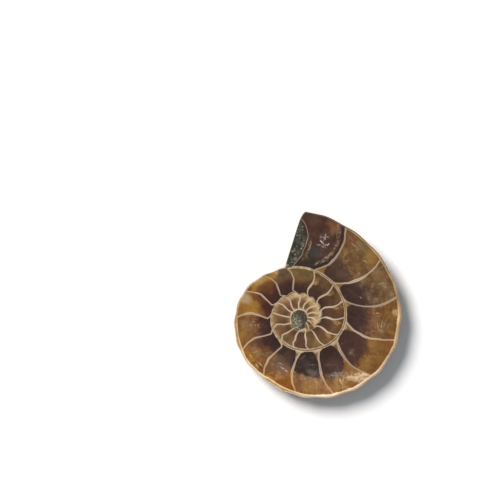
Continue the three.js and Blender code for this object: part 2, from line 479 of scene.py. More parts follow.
# A value in a shader: arithmetic on it adds nodes.
class Shade:
    def __init__(self, tree, out):
        self.tree = tree
        self.out = out

    def make(self, kind, settings=None, inputs=None, output=0):
        node = self.tree.nodes.new(kind)
        for name, value in (settings or {}).items():
            setattr(node, name, value)
        plug(node, inputs or {})
        return Shade(self.tree, node.outputs[output])

    def math(self, operation, *values):
        return self.make("ShaderNodeMath", {"operation": operation}, dict(enumerate(values)))

    def __add__(self, other):
        return self.math("ADD", self, other)

    def __radd__(self, other):
        return self.math("ADD", other, self)

    def __sub__(self, other):
        return self.math("SUBTRACT", self, other)

    def __rsub__(self, other):
        return self.math("SUBTRACT", other, self)

    def __mul__(self, other):
        return self.math("MULTIPLY", self, other)

    def __rmul__(self, other):
        return self.math("MULTIPLY", other, self)

    def __truediv__(self, other):
        return self.math("DIVIDE", self, other)

    def __rtruediv__(self, other):
        return self.math("DIVIDE", other, self)

    def __pow__(self, other):
        return self.math("POWER", self, other)

    def __abs__(self):
        return self.math("ABSOLUTE", self)

    def least(self, other):
        return self.math("MINIMUM", self, other)

    def most(self, other):
        return self.math("MAXIMUM", self, other)

    # 0 below low, 1 above high, smooth between; low may be the larger
    def rise(self, low, high):
        settings = {"interpolation_type": "SMOOTHSTEP"}
        if isinstance(low, Shade) or isinstance(high, Shade) or low < high:
            return self.make("ShaderNodeMapRange", settings, {0: self, 1: low, 2: high, 3: 0.0, 4: 1.0})
        return self.make("ShaderNodeMapRange", settings, {0: self, 1: high, 2: low, 3: 1.0, 4: 0.0})

    # 1 at the middle, 0 at half the width away
    def bump(self, middle, half):
        return abs(self - middle).rise(half, 0.0)

    def pick(self, low, high):
        return self.make("ShaderNodeMix", {"data_type": "FLOAT"}, {0: self, 2: low, 3: high})

    def blend(self, low, high):
        low = low if isinstance(low, Shade) else ink(low)
        high = high if isinstance(high, Shade) else ink(high)
        return self.make("ShaderNodeMix", {"data_type": "RGBA"}, {0: self, 6: low, 7: high}, 2)

    def brighten(self, factor):
        return self.make("ShaderNodeVectorMath", {"operation": "SCALE"}, {0: self, "Scale": factor})

    def part(self, name):
        return self.make("ShaderNodeSeparateXYZ", None, {0: self}, name)

    def channels(self):
        node = self.make("ShaderNodeSeparateColor", None, {0: self}).out.node
        return [Shade(self.tree, out) for out in node.outputs]

    def vector(self, operation, other):
        return self.make("ShaderNodeVectorMath", {"operation": operation}, {0: self, 1: other})

    def length(self):
        return self.make("ShaderNodeVectorMath", {"operation": "LENGTH"}, {0: self}, "Value")

    # 1 at a pixel of the photograph, falling to 0 half as far again as the half sizes
    def patch(self, x, y, halfX, halfY, turn):
        middle = (
            pole[0] + (x - polePixel[0]) * photoStep,
            pole[1] - (y - polePixel[1]) * photoStep,
            coil["thickness"],
        )
        reach, deep = 1.5 * photoStep, 100.0  # so deep that the level doesn't matter
        inputs = {
            "Vector": self,
            "Location": middle,
            "Rotation": (0.0, 0.0, math.radians(turn)),
            "Scale": (halfX * reach, halfY * reach, deep),
        }
        local = self.make("ShaderNodeMapping", {"vector_type": "TEXTURE"}, inputs)
        return local.make("ShaderNodeTexGradient", {"gradient_type": "SPHERICAL"}, {0: local}, "Fac")

    def noise(self, scale, detail=2.0, roughness=0.5, distortion=0.0):
        inputs = {"Vector": self, "Scale": scale, "Detail": detail}
        inputs.update({"Roughness": roughness, "Distortion": distortion})
        return self.make("ShaderNodeTexNoise", None, inputs)

    # another output of the same node
    def other(self, name):
        return Shade(self.tree, self.out.node.outputs[name])

    # colours along 0 to 1, given as {place: colour}
    def ramp(self, stops, between="LINEAR"):
        made = self.make("ShaderNodeValToRGB", None, {0: self})
        made.out.node.color_ramp.interpolation = between
        elements = made.out.node.color_ramp.elements
        places = sorted(stops)
        for place in places[2:]:
            elements.new(place)
        for element, place in zip(elements, places):
            element.position = place
        for element, place in zip(elements, places):
            element.color = ink(stops[place])
        return made


# A colour written as rrggbb, in linear light.
def ink(text):
    if not isinstance(text, str):
        return tuple(text)
    levels = [int(text[k:k + 2], 16) / 255 for k in (0, 2, 4)]
    return tuple(c / 12.92 if c <= 0.04045 else ((c + 0.055) / 1.055) ** 2.4 for c in levels) + (1.0,)


# A material, its shader, a value to make nodes from, and the place on the piece in millimetres.
def newMaterial(name):
    material = bpy.data.materials.new(name)
    material.use_nodes = True
    tree = material.node_tree
    shader = tree.nodes["Principled BSDF"]
    start = Shade(tree, None)
    place = start.make("ShaderNodeTexCoord", output="Object").brighten(1.0 / mm)
    return material, shader, start, place


# One of the values kept on the mesh.
def attribute(start, name, output):
    return start.make("ShaderNodeAttribute", {"attribute_name": name}, None, output)


# Grey-green stone: a dark ground with rounded grains of two sizes, some grey and some tan.
def stoneColour(place):
    colour = place.noise(0.9, 2.0).rise(0.35, 0.65).blend("2d2a21", "423e31")
    for scale, share, tint in ((0.9, 0.5, "7b7766"), (1.7, 0.4, "8f8a74")):
        cells = place.make("ShaderNodeTexVoronoi", None, {"Vector": place, "Scale": scale})
        tone, picked = cells.other("Color").channels()[:2]
        grain = cells.rise(0.5, 0.3) * picked.rise(share, share + 0.15)
        colour = (grain * 0.8).blend(colour, tone.blend("55544a", tint))
    return colour


# Chambers by their number counted in from the mouth. Border: where the dark half ends across the turn, how
# soft that is, how far it tilts and how it bends. Veil of white, size of the pale foot, red at the border.
chamberColumns = ("number", "inner", "outer", "border", "soft", "tilt", "bend", "veil", "foot", "red")
chambers = [
    (0, "362b25", "4d3126", 0.50, 0.30, 0.00, 1.0, 0.05, 0.00, 0.0),
    (1, "463126", "6c4f2b", 0.49, 0.12, -0.08, 1.0, 0.40, 0.70, 0.1),
    (2, "3d2a25", "6c5130", 0.57, 0.16, 0.05, 3.0, 0.50, 0.60, 0.1),
    (3, "3c2925", "785327", 0.55, 0.12, 0.00, 3.0, 0.40, 0.50, 0.2),
    (4, "422c24", "7e5627", 0.66, 0.08, 0.07, 3.0, 0.15, 0.90, 0.0),
    (5, "3a2722", "8f6431", 0.54, 0.04, 0.21, 6.0, 0.50, 1.00, 0.0),
    (6, "362722", "8f6539", 0.63, 0.04, -0.07, 0.4, 0.60, 1.00, 0.0),
    (7, "382824", "8a561a", 0.50, 0.12, -0.12, 0.6, 0.20, 0.90, 0.0),
    (8, "38241f", "865828", 0.57, 0.16, 0.00, 1.0, 0.35, 0.25, 0.4),
    (9, "3a241e", "84592d", 0.54, 0.26, 0.00, 1.0, 0.25, 0.00, 0.3),
    (10, "43251b", "946b2f", 0.54, 0.14, 0.28, 1.0, 0.05, 0.00, 0.7),
    (11, "3f241b", "86602a", 0.74, 0.16, 0.00, 1.0, 0.05, 0.00, 0.6),
    (12, "3c261e", "624d34", 0.66, 0.14, 0.00, 1.0, 0.05, 0.00, 0.2),
    (13, "3f281e", "68522e", 0.60, 0.18, 0.00, 1.0, 0.05, 0.00, 0.2),
    (14, "432b20", "614629", 0.62, 0.25, 0.00, 1.0, 0.05, 0.00, 0.0),
    (16, "4e3426", "644628", 0.62, 0.30, 0.00, 1.0, 0.05, 0.00, 0.0),
    (18, "5a3e28", "70502f", 0.60, 0.30, 0.00, 1.0, 0.00, 0.00, 0.0),
    (19, "664c2f", "765a36", 0.60, 0.30, 0.00, 1.0, 0.00, 0.00, 0.0),
    (20, "50352a", "5e412d", 0.60, 0.30, 0.00, 1.0, 0.00, 0.00, 0.0),
    (21, "5c412a", "705334", 0.55, 0.30, 0.00, 1.0, 0.00, 0.00, 0.0),
    (27, "5f4428", "7c5b35", 0.55, 0.25, 0.00, 1.0, 0.00, 0.00, 0.0),
]
chamberRows = [SimpleNamespace(**dict(zip(chamberColumns, row))) for row in chambers]
mostBend = 8.0
rampSteps = 255
stepsEach = 7  # a ramp keeps 256 colours, so each chamber takes seven of them
lastNumber = rampSteps / stepsEach


# A ramp that changes at whole numbers.
def stepRamp(number, table):
    stops = {max(stepsEach * key - 0.5, 0) / rampSteps: value for key, value in table.items()}
    return number.ramp(stops, "CONSTANT")


# Colours or traits of the chamber at a place along the coil.
def byChamber(number, trait):
    return stepRamp(number, {room.number: trait(room) for room in chamberRows})


# Along the rim by septum number: width of the shell's cut wall in half millimetres, its brightness, the
# brightness of the pale foot on the wall inside, and how far the wall lies in from the edge in millimetres.
rimTraits = {
    0: (0.05, 0.1, 0.0, 0.0), 0.9: (0.15, 0.2, 0.0, 0.0), 1.05: (0.4, 0.48, 0.1, 0.0),
    2.2: (0.48, 0.55, 0.1, 0.0), 2.6: (0.45, 0.42, 0.2, 0.0), 2.9: (0.4, 0.4, 0.2, 0.0),
    3.1: (0.55, 0.5, 0.3, 0.0), 3.5: (0.95, 0.95, 0.4, 0.0), 3.85: (0.8, 0.7, 0.5, 0.0),
    4.1: (0.5, 0.85, 0.6, 0.0), 4.7: (0.55, 1.0, 0.8, 0.0), 5.2: (0.8, 1.2, 1.0, 0.0),
    5.7: (0.7, 1.0, 1.0, 0.0), 6.0: (0.75, 1.15, 1.0, 0.0), 6.3: (0.8, 1.2, 1.0, 0.0),
    6.8: (0.6, 1.05, 1.0, 0.1), 7.2: (0.4, 0.85, 1.0, 0.3), 7.8: (0.45, 1.05, 0.9, 0.4),
    8.0: (0.6, 1.1, 0.8, 0.1), 8.3: (0.55, 1.1, 0.8, 0.0), 8.8: (0.55, 0.95, 0.6, 0.0),
    9.2: (0.3, 0.92, 0.4, 0.38), 9.8: (0.2, 0.75, 0.3, 0.4), 10.2: (0.12, 0.45, 0.2, 0.2),
    12: (0.08, 0.35, 0.1, 0.0), 14: (0.0, 0.0, 0.1, 0.0),
}
# Septa by number: how swollen, how dull, how golden towards the rim, and where across the turn they swell.
septumTraits = {
    0: (0.0, 0.45, 0.0, 0.5), 1: (0.5, 0.4, 0.2, 0.5), 2: (1.0, 0.1, 0.3, 0.46),
    3: (0.8, 0.4, 0.2, 0.8), 4: (0.6, 0.1, 0.2, 0.5), 5: (0.9, 0.4, 0.5, 0.36),
    6: (0.9, 0.25, 1.0, 0.6), 7: (0.9, 0.12, 1.0, 0.65), 8: (0.6, 0.1, 0.6, 0.72),
    9: (0.35, 0.12, 0.5, 0.72), 10: (0.8, 0.15, 0.6, 0.7), 11: (0.3, 0.1, 0.6, 0.6),
    12: (0.2, 0.35, 0.2, 0.5), 14: (0.4, 0.05, 0.0, 0.5), 22: (0.1, 0.05, 0.0, 0.5),
}
# Tints of the stains and strokes in the filling.
tints = {
    "smoke": "403a36", "ash": "675952", "dusk": "574438", "umber": "50362a", "rust": "63381a",
    "bark": "604424", "chestnut": "6f4728", "russet": "7b4b22", "ember": "82480e", "clay": "7f6140",
    "drab": "7e694c", "honey": "86622f", "amber": "956b28", "gold": "a9782c", "straw": "ac8b54",
    "cream": "c9a878", "glintFrost": "dac8c2", "pearl": "c0aea6", "haze": "a4928a", "dove": "84736a",
    "slate": "645a56", "sand": "a88f6c", "wheat": "b08c58", "fawn": "8c6a42", "brass": "c99a38",
    "ivory": "e8d4b2", "buff": "d2b386", "copper": "a67645", "olive": "8a6534", "mist": "745944",
}
# Stains in the filling: pixel of the photograph, half sizes there, turn, tint, strength.
stains = [
    (333, 224, 7, 4, -25, "chestnut", 0.8), (334, 231, 4, 5, -40, "clay", 0.5),
    (317, 253, 7, 6, 0, "smoke", 0.7), (306, 256, 3, 5, 20, "bark", 0.4),
    (313, 220, 8, 5, -20, "umber", 0.6), (371, 257, 7, 9, 25, "olive", 0.8),
    (357, 259, 5, 4, 0, "bark", 0.5), (346, 252, 4, 4, 0, "honey", 0.8),
    (352, 240, 8, 6, -40, "chestnut", 0.7), (361, 246, 6, 4, -40, "drab", 0.6),
    (342, 274, 7, 5, 0, "dusk", 0.6), (376, 272, 7, 5, -30, "clay", 0.7),
    (384, 276, 4, 5, -60, "chestnut", 0.6), (370, 284, 5, 3, 0, "chestnut", 0.6),
    (384, 285, 6, 4, -30, "drab", 0.6), (391, 294, 4, 3, -20, "drab", 0.5),
    (388, 306, 6, 3, 15, "russet", 0.6), (381, 327, 7, 7, 0, "clay", 0.6),
    (395.5, 312, 3, 3.2, 0, "cream", 0.65), (395, 312, 1.2, 1.4, 0, "fawn", 0.8),
    (366, 331, 7, 5, -30, "umber", 0.6), (373, 345, 5, 5, -40, "honey", 0.6),
    (388, 346, 5, 5, 0, "russet", 0.5), (351, 352, 3, 3, 0, "ash", 0.6),
    (366, 363, 6, 5, 0, "honey", 0.5), (333, 364, 7, 6, 0, "umber", 0.6),
    (328, 377, 5, 4, -60, "bark", 0.7), (353, 384, 5, 2.5, 15, "russet", 0.8),
    (347, 368, 4, 4, 0, "chestnut", 0.6), (312, 373, 6, 3.5, -15, "ash", 0.7),
    (307, 365, 5, 5, 0, "smoke", 0.6), (298, 382, 4.5, 8, 10, "chestnut", 0.8),
    (308, 389, 5, 3, 0, "amber", 0.7), (317, 385, 4, 5, 0, "copper", 0.6),
    (278, 364, 10, 8, -30, "dusk", 0.9), (278, 369, 10, 6, -25, "mist", 0.8),
    (288, 358, 4, 7, 0, "umber", 0.7), (269, 377, 4, 3, -30, "gold", 0.9),
    (272, 369, 6, 4, -20, "chestnut", 0.6), (284, 384, 8, 3.5, -28, "ember", 0.9),
    (291, 387, 3.5, 4, -40, "ember", 0.8), (285, 378, 5, 2.5, -10, "russet", 0.5),
    (278, 378.5, 5, 2.5, 0, "copper", 0.5), (256, 351, 5, 5, 0, "clay", 0.85),
    (250, 358, 9, 2.5, -52, "amber", 0.8), (257, 367, 6, 2, -50, "amber", 0.7),
    (254, 362, 2, 2, 0, "rust", 0.7), (261, 368, 3, 2.5, -45, "rust", 0.8),
    (265, 355, 4, 5, 0, "bark", 0.7), (259, 361, 4, 3, -45, "russet", 0.6),
    (257, 343, 6, 4, 0, "umber", 0.6), (244, 322, 5, 4, 0, "fawn", 0.7),
    (243, 335, 4, 5, -70, "amber", 0.7), (250, 328, 8, 6, 0, "clay", 0.5),
    (245, 298, 8, 5, -35, "sand", 0.85), (262, 300, 4, 4, -45, "rust", 0.6),
    (255, 304, 6, 2.5, -35, "amber", 0.6), (250, 309, 8, 4, 0, "amber", 0.7),
    (256, 298, 4, 3, -45, "rust", 0.7), (260, 281, 8, 3.5, 35, "straw", 0.7),
    (255, 287.5, 5, 2.5, 35, "amber", 0.8), (268, 289, 6, 5, 0, "rust", 0.6),
    (272.5, 275, 7, 4, 25, "gold", 0.7), (276.5, 272.5, 3, 2, 20, "sand", 0.7),
    (284, 275, 4, 4, 0, "umber", 0.7), (297, 277, 3.5, 4, 0, "chestnut", 0.7),
]
# Fine cracks and feathers in the filling: pixel of the photograph, half length there, turn, tint, strength.
strokes = [
    # The first eleven strokes, on the crystals of the last chamber, are painted glints.
    (327, 243, 2.5, 60, "glintFrost", 0.9), (325.5, 244.5, 2, 30, "glintFrost", 0.8),
    (326, 242, 2, 80, "glintFrost", 0.9), (328, 244.5, 1.5, 40, "glintFrost", 0.9),
    (322, 241.5, 2, -50, "glintFrost", 0.8), (319, 244.5, 2.5, -10, "haze", 0.7),
    (323, 247, 2, -30, "glintFrost", 0.7), (326, 235, 1.3, 70, "pearl", 0.6),
    (327.5, 236.5, 1.5, -30, "pearl", 0.6), (324.5, 238.5, 2, 45, "haze", 0.5),
    (320.5, 236, 2, 90, "dove", 0.4), (310, 246, 6, 80, "sand", 0.6), (326, 257, 6, 40, "sand", 0.6),
    (329, 223, 3, 75, "honey", 0.5), (337, 236, 5, -85, "clay", 0.5), (364.5, 261, 4, -40, "sand", 0.8),
    (353, 240, 5, -35, "sand", 0.45), (355, 246, 5, -45, "sand", 0.45),
    (358, 273, 1.5, -50, "straw", 0.5), (382, 283.5, 4, 0, "sand", 0.6),
    (385, 287, 3.5, -35, "sand", 0.6), (392, 294, 3, -55, "sand", 0.4), (361, 287, 2, -80, "dove", 0.5),
    (361, 298, 1.5, -45, "haze", 0.6), (386, 278, 3, 55, "sand", 0.5),
    (376.5, 313, 2, -5, "cream", 0.8), (381.5, 326, 5, 85, "cream", 0.8),
    (378, 327, 4, -80, "sand", 0.7), (385, 323, 4, 70, "sand", 0.5), (388, 328, 4, 75, "sand", 0.4),
    (389, 316, 6, -50, "fawn", 0.5), (373, 331, 2, 0, "sand", 0.5), (367, 333, 2, 50, "drab", 0.5),
    (369, 356, 5, 5, "copper", 0.6), (377, 353.5, 3, 60, "copper", 0.5),
    (351, 353, 2, -20, "dove", 0.6), (342, 344, 1.5, 60, "dove", 0.5), (330, 365, 4, 5, "ash", 0.6),
    (341, 383, 5, -75, "ivory", 0.5), (343, 381, 4, 80, "buff", 0.35),
    (350, 376.5, 5, 25, "ivory", 0.4), (358, 373, 5, 12, "ivory", 0.45),
    (366, 373.5, 4, -25, "ivory", 0.4), (357, 379, 5, 8, "buff", 0.4),
    (366, 377.5, 4, 15, "ivory", 0.4), (347, 380, 3, -20, "buff", 0.4),
    (312, 364.8, 2.5, 8, "dove", 0.5), (303, 357, 4, 40, "slate", 0.5),
    (316.5, 386, 6, 88, "wheat", 0.5), (304, 376, 4, -25, "sand", 0.45),
    (313, 378, 5, -8, "sand", 0.45), (281, 364, 3, -25, "haze", 0.6),
    (284.5, 369.5, 4, -30, "pearl", 0.7), (272.5, 364, 1.5, 0, "sand", 0.6),
    (282, 356.5, 4, -38, "slate", 0.6), (277, 373.5, 3.5, 55, "wheat", 0.6),
    (270, 372.5, 6, 8, "straw", 0.4), (280, 374.5, 4, -40, "sand", 0.6), (276, 377, 3, 60, "sand", 0.4),
    (357, 250, 5, -45, "sand", 0.45), (281, 377, 5, -30, "copper", 0.6),
    (251, 357, 5, -50, "brass", 0.7), (257, 365.5, 2.5, -60, "cream", 0.7),
    (260, 364, 3.5, -42, "buff", 0.7), (262.5, 355.5, 1.5, -10, "straw", 0.6),
    (256, 352, 4, 20, "straw", 0.5), (334, 336, 2, 30, "copper", 0.7),
]
strokeHalf = 0.5  # half width of a stroke, in pixels
# Single spots on the cut: pixel of the photograph, half sizes there, turn.
spots = {
    "creamRim": (361, 376, 14, 5, 8),
    "creamMiddle": (341, 382, 6, 6, 0),
    "creamHaze": (337, 374.5, 7, 3.5, 10),
    "specks": (255, 323, 9, 6, -15),
    # painted glints on the white crystals of the last chamber
    "crystals": (324.5, 241, 4.5, 6, 0),
    "firstRoom": (309.5, 325.5, 4.6, 4.8, 0),
    "litStone": (294, 324, 9, 9, 0),
}
turnLog = 0.82  # logarithm of the growth over one turn, so share across x radius x this is millimetres


# Places on the cut that its markings are drawn from. Number counts septa in from the mouth, along runs from
# the older septum of a chamber to the newer, and across from the inner wall to the outer. Inside, outside
# and toSeptum are millimetres from those walls and from the nearest septum. Edge is where the dark half of
# a chamber ends, height an uneven across to set against it, and outerShare is 1 in the amber half.
def cutPlaces(start, place):
    cut = SimpleNamespace(place=place)
    cut.fromPole = place.vector("SUBTRACT", (pole[0], pole[1], coil["thickness"]))
    cut.radius = cut.fromPole.length()
    whorl = attribute(start, "whorl", "Fac")
    cut.second = whorl.math("GREATER_THAN", whorl, 1.0)
    cut.third = whorl.math("GREATER_THAN", whorl, 2.0)

    def ofTurn(name):
        values = attribute(start, name, "Vector")
        return cut.second.pick(values.part("X"), cut.third.pick(values.part("Y"), values.part("Z")))

    wander = place.noise(0.5, 2.0)
    phase = ofTurn("phases") + (wander - 0.5) * 0.06
    cut.steep = ofTurn("steeps")
    cut.number = 0.0 - phase
    cut.nearest = phase.math("ROUND", phase)
    cut.toSeptum = abs(phase - cut.nearest) * cut.radius / cut.steep
    cut.along = phase - phase.math("FLOOR", phase)
    cut.across = 1.0 - (whorl - whorl.math("FLOOR", whorl))
    cut.inside = cut.across * cut.radius * turnLog
    cut.outside = (1.0 - cut.across) * cut.radius * turnLog

    cut.cloud = place.noise(0.42, 1.5, 0.5)
    cut.patchy = place.noise(0.4, 2.0, 0.5)
    cut.mottle = place.noise(1.1, 3.0, 0.55)
    cut.grain = place.noise(1.7, 3.0, 0.6)
    cut.fine = place.noise(2.8, 3.0, 0.65)
    cut.branches = place.noise(0.75, 4.0, 0.6, 1.4)
    astray = wander.other("Color").vector("SUBTRACT", (0.5, 0.5, 0.5))
    cut.stirred = place.vector("ADD", astray.brighten(1.6))
    cut.drifted = place.vector("ADD", astray.brighten(0.7))

    cut.coilPlace = cut.number / lastNumber
    traits = byChamber(cut.coilPlace, lambda room: (room.veil, room.foot, room.red, 1.0))
    cut.veil, cut.foot, cut.red = traits.channels()
    traits = cut.coilPlace.ramp({key / lastNumber: value for key, value in rimTraits.items()})
    cut.rimWidth, cut.rimBright, cut.footBright = traits.channels()
    cut.rimInset = traits.other("Alpha")
    traits = byChamber(
        cut.coilPlace, lambda room: (room.border, room.soft, room.tilt + 0.5, room.bend / mostBend)
    )
    border, soft, tilted = traits.channels()
    bend = traits.other("Alpha") * mostBend
    cut.edge = border + (tilted - 0.5) * (1.0 - cut.along ** bend * 2.0)
    uneven = (cut.cloud - 0.5) * (soft * 0.7 + 0.08) + (cut.mottle - 0.5) * (soft * 0.25 + 0.02)
    cut.height = cut.across + uneven
    cut.outerShare = cut.height.rise(cut.edge - soft, cut.edge + soft)
    return cut


# Filling of the chambers: dark towards the inner wall, amber towards the rim, a wandering border between.
def chamberFilling(cut):
    patchy, mottle = cut.patchy, cut.mottle
    lift = (cut.height / cut.edge).rise(0.0, 1.0).pick(0.82, 1.2)
    inner = byChamber(cut.coilPlace, lambda room: room.inner)
    inner = inner.brighten((0.6 + patchy * 0.7 + (mottle - 0.5) * 0.4) * lift)
    outer = byChamber(cut.coilPlace, lambda room: room.outer)
    outer = patchy.rise(0.32, 0.68).blend(
        outer.vector("MULTIPLY", (0.8, 0.74, 0.66)), outer.vector("MULTIPLY", (1.18, 1.18, 1.18))
    )
    outer = outer.brighten(0.86 + (mottle - 0.5) * 0.5)
    colour = cut.outerShare.blend(inner.vector("MULTIPLY", (0.98, 0.9, 0.82)), outer)
    colour = (cut.height.bump(cut.edge + 0.05, 0.24) * cut.red * 0.8).blend(colour, "6a3818")
    for x, y, halfX, halfY, turn, tint, strength in stains:
        stain = cut.stirred.patch(x, y, halfX, halfY, turn).rise(0.0, 0.8)
        colour = (stain * strength).blend(colour, tints[tint])
    return colour.brighten(1.0 + (cut.grain - 0.5) * cut.outerShare.pick(0.35, 0.8))


# White wisps: thin lines where a noise crosses its middle, a haze along the border, and dust.
def wispsAndSpecks(cut, colour):
    feather = cut.place.noise(0.5, 3.0, 0.5, 1.0)
    wisp = feather.bump(0.5, 0.02) * cut.mottle.rise(0.45, 0.65) * cut.veil * cut.outerShare.pick(0.35, 1.0)
    haze = cut.mottle.rise(0.42, 0.7) * cut.height.bump(cut.edge + 0.06, 0.24) * cut.veil
    colour = (haze * 0.5).blend(colour, "9c8470")
    colour = (wisp * 0.45).blend(colour, "bfa890")
    clustered = cut.place.patch(*spots["specks"]).rise(0.0, 0.6)
    rare = 0.83 - clustered * 0.15
    specks = cut.place.noise(3.4, 0.0).rise(rare, rare + 0.04)
    shown = (cut.cloud.rise(0.45, 0.6) * 0.3).most(clustered * 0.42)
    return (specks * shown).blend(colour, "c0a890")


# Cream cloud in one chamber, streaked along the rim.
def creamCloud(cut, colour):
    alongRim = {"Vector": cut.stirred, "Rotation": (0.0, 0.0, math.radians(22)), "Scale": (2.6, 0.8, 1.0)}
    streaks = cut.place.make("ShaderNodeMapping", {"vector_type": "TEXTURE"}, alongRim).noise(1.0, 3.0, 0.6)
    oneRoom = cut.number.rise(5.0, 5.03) * cut.number.rise(6.0, 5.97)
    nearRim, middle, cloudy = (
        cut.stirred.patch(*spots[name]).rise(0.0, 0.7) * oneRoom
        for name in ("creamRim", "creamMiddle", "creamHaze")
    )
    tan = cut.mottle.rise(0.35, 0.65).blend("86602f", "aa8550")
    cream = (streaks * 0.6 + cut.grain * 0.4).rise(0.34, 0.62).blend("9c764a", "e2c8a6")
    colour = (middle * 0.55).blend(colour, tan)
    colour = (nearRim * 0.85).blend(colour, cream)
    return (cloudy * cut.grain.rise(0.3, 0.7) * 0.65).blend(colour, "a4928a")


# White branching crystals in the last chamber with painted glints on them, and single cracks.
def crystalGlintsAndCracks(cut, colour):
    glintStar = cut.place.patch(*spots["crystals"]).rise(0.0, 0.4) * cut.branches.bump(0.52, 0.025)
    colour = (glintStar * 0.45).blend(colour, "cbb8b0")
    for x, y, half, turn, tint, strength in strokes:
        stroke = cut.drifted.patch(x, y, half, strokeHalf, turn).rise(0.0, 0.6) * cut.grain.rise(0.36, 0.56)
        colour = (stroke * strength).blend(colour, tints[tint])
    return colour


# Dotted tan bands inside the last chamber, dark between them and the septa.
def lastChamberBands(cut, colour):
    across, astray = cut.across, cut.mottle - 0.5
    lastChamber = cut.number.rise(-0.01, 0.0) * cut.number.rise(1.0, 0.99)
    fromOlder = cut.along * cut.radius / cut.steep
    fromNewer = (1.0 - cut.along) * cut.radius / cut.steep
    colour = (fromOlder.rise(0.9, 0.4) * lastChamber * 0.6).blend(colour, "2a1c17")
    olderBand = (fromOlder + astray).bump(1.2, 0.5) * across.rise(0.85, 0.3).pick(0.5, 1.0)
    newerBand = (fromNewer + astray * 0.8).bump(0.8, 0.4) * across.rise(0.6, 0.5) * 0.5
    dots = cut.place.noise(1.9, 2.0).rise(0.38, 0.6)
    banded = olderBand.most(newerBand) * dots * lastChamber * across.rise(0.1, 0.2)
    return (banded * 0.8).blend(colour, "9a8262")


# Pale feet in the inner corners of a chamber, larger on the newer side.
def paleFeet(cut, colour):
    along, mottle = cut.along, cut.mottle
    arch = (along - 0.45).most(0.0) ** 2.2 * 1.4 + (0.3 - along).most(0.0) ** 2.0 * 1.2
    arch = 0.03 + cut.foot * arch
    corner = (arch - cut.across + (mottle - 0.5) * 0.03).rise(-0.015, 0.025) * cut.foot.rise(0.1, 0.2)
    creamy = cut.inside.rise(1.2, 0.3).most(cut.toSeptum.rise(0.5, 0.1) * 0.6) * cut.footBright
    footColour = creamy.blend(cut.footBright.blend("7e5a2c", "6b4f32"), "c2a47c")
    footColour = footColour.brighten(0.5 + mottle * 0.5 + cut.fine * 0.5)
    return (corner * 0.9).blend(colour, footColour)


# Tan patches in the newer outer corner of the chambers of the second turn.
def tanPatches(cut, colour):
    across, mottle = cut.across, cut.mottle
    spread = (cut.along - 0.82 + (across - 0.75) * 0.5) / (across * 0.5 - 0.12).most(0.05)
    tan = spread.bump(0.0, 1.1) * across.bump(0.72, 0.32) + (mottle - 0.5) * 1.8
    tan = tan.rise(0.4, 0.85) * cut.number.rise(13.9, 14.0) * cut.number.rise(20.0, 18.5)
    return (tan * 0.7).blend(colour, mottle.rise(0.4, 0.65).blend("80613a", "a07e4c"))


# Broad tan beside the walls of the inner turns, round the centre and on the left of the second turn.
def wallBands(cut, colour):
    glow = cut.inside.least(cut.outside).rise(1.0, 0.2).most(cut.along.rise(0.55, 0.1) * 0.8)
    glow = glow * cut.number.rise(20.0, 23.0) * cut.mottle.rise(0.25, 0.6)
    leftBand = cut.outside.rise(1.0, 0.6) * cut.fromPole.part("X").rise(-4.3, -5.6) * cut.second
    innerRing = cut.outside.rise(1.4, 0.5) * cut.number.rise(24.5, 26.5)
    uneven = cut.mottle.rise(0.35, 0.65)
    colour = (glow * 0.33).blend(colour, "a07c4c")
    colour = (leftBand * 0.7).blend(colour, uneven.blend("745635", "98774d"))
    return (innerRing * 0.85).blend(colour, uneven.blend("98784f", "c4a478"))


# Septa, some swollen, brighter in the inner turns, fading out in the stone.
def septumLines(cut, colour):
    across, number = cut.across, cut.number
    traits = stepRamp((0.5 - cut.nearest) / lastNumber, septumTraits)
    swollen, dulled, warm = traits.channels()
    swell = (across - traits.other("Alpha")).bump(0.0, 0.34) * swollen * 0.17
    half = (cut.radius * 0.0015 + 0.1 + swell) * number.rise(0.05, 0.5).pick(0.4, 1.0)
    cut.septum = (cut.toSeptum - half).rise(0.07, -0.05)
    cut.septum = cut.septum * number.rise(-0.5, -0.45) * number.rise(33.4, 33.1)
    pale = (cut.toSeptum / half).rise(0.1, 0.8).blend("a79184", "cbb297")
    pale = (warm * across.rise(0.5, 0.9)).blend(pale, "c7a272")
    pale = (number.rise(12.0, 18.0) * 0.5).blend(pale, "d3c0a6")
    pale = pale.brighten(0.72 + cut.patchy * 0.5 - dulled * 0.5)
    pale = (cut.inside.rise(0.9, 0.2) * number.rise(22.0, 26.0) * 0.4).blend(pale, "ddd2be")
    return (cut.septum * (1.0 - dulled * 0.3) * 0.95).blend(colour, pale)


# Walls: cream on both sides of a brown hairline between turns.
def wallLines(cut, colour):
    inside, outside, second = cut.inside, cut.outside, cut.second
    line = cut.radius * 0.002 + 0.06 + cut.mottle * 0.12
    farLeft = cut.fromPole.part("X").rise(-2.5, -5.0)
    ringFade = cut.number.rise(20.0, 24.0).pick(1.0, 0.2) * second.pick(1.0, 0.5)
    innerLine = inside.rise(line + 0.22, line + 0.08) * ringFade
    outerLine = outside.rise(line + 0.22, line + 0.08) * second * farLeft.pick(1.0, 0.4)
    cream = cut.mottle.rise(0.3, 0.7).blend("a0886a", "cab08e")
    colour = (innerLine.most(outerLine) * 0.85).blend(colour, cream)
    hair = second.pick(inside, outside + cut.third).rise(0.18, 0.05) * cut.grain.rise(0.25, 0.45)
    hair = hair * farLeft.pick(1.0, 0.25) * cut.fromPole.part("Y").rise(10.9, 9.8)
    return (hair * 0.8).blend(colour, "533d2b")


